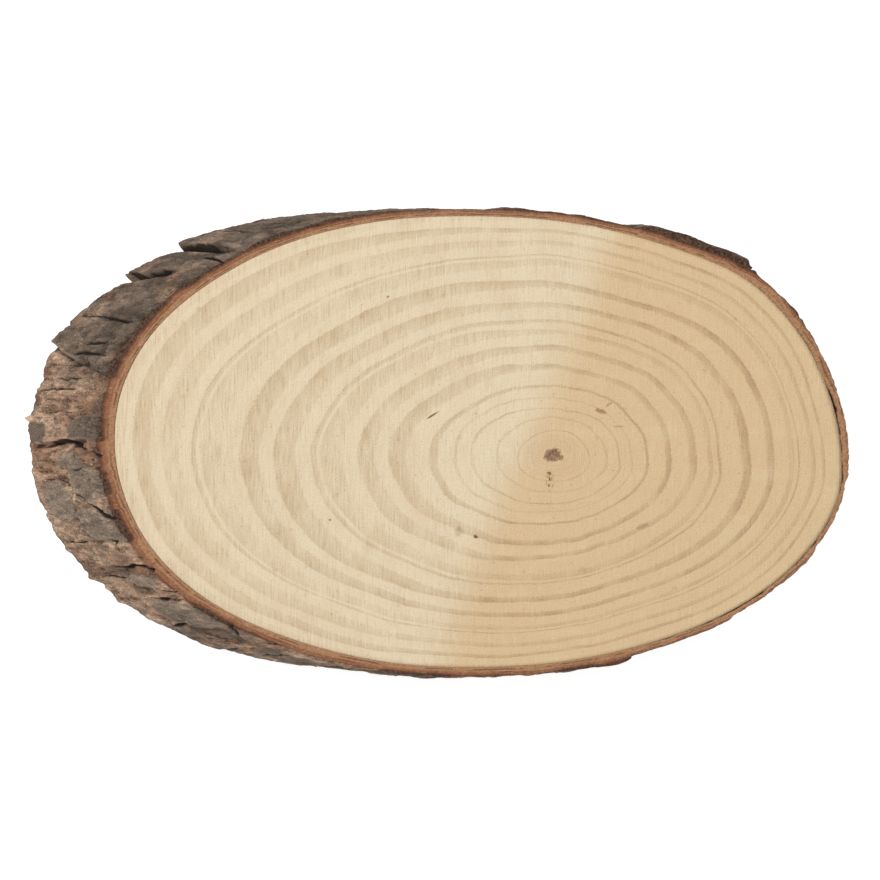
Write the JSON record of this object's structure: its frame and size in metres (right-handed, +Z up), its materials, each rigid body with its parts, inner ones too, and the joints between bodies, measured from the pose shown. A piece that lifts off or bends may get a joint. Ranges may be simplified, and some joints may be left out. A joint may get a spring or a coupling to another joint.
{
  "type": "wood slice",
  "caption": "Oval slice of a tree trunk, cut aslant and level on both faces, with growth rings round an off-centre pith and a rim of cracked, plated bark.",
  "frame": {"origin": "centre of the bounding box at its base, on the plane the slice rests on", "axes": "+Z up through the slice's thickness, its shortest extent; +X along the oval's length, its longest extent, towards the end where the upper face overhangs the lower one"},
  "size_m": [0.2484, 0.1412, 0.018],
  "materials": {
    "wood": "sawn and lightly sanded end grain, matte",
    "bark": "rough weathered bark, matte"
  },
  "bodies": {
    "root": {"wood": "wood", "bark": "bark"}
  },
  "joints": []
}
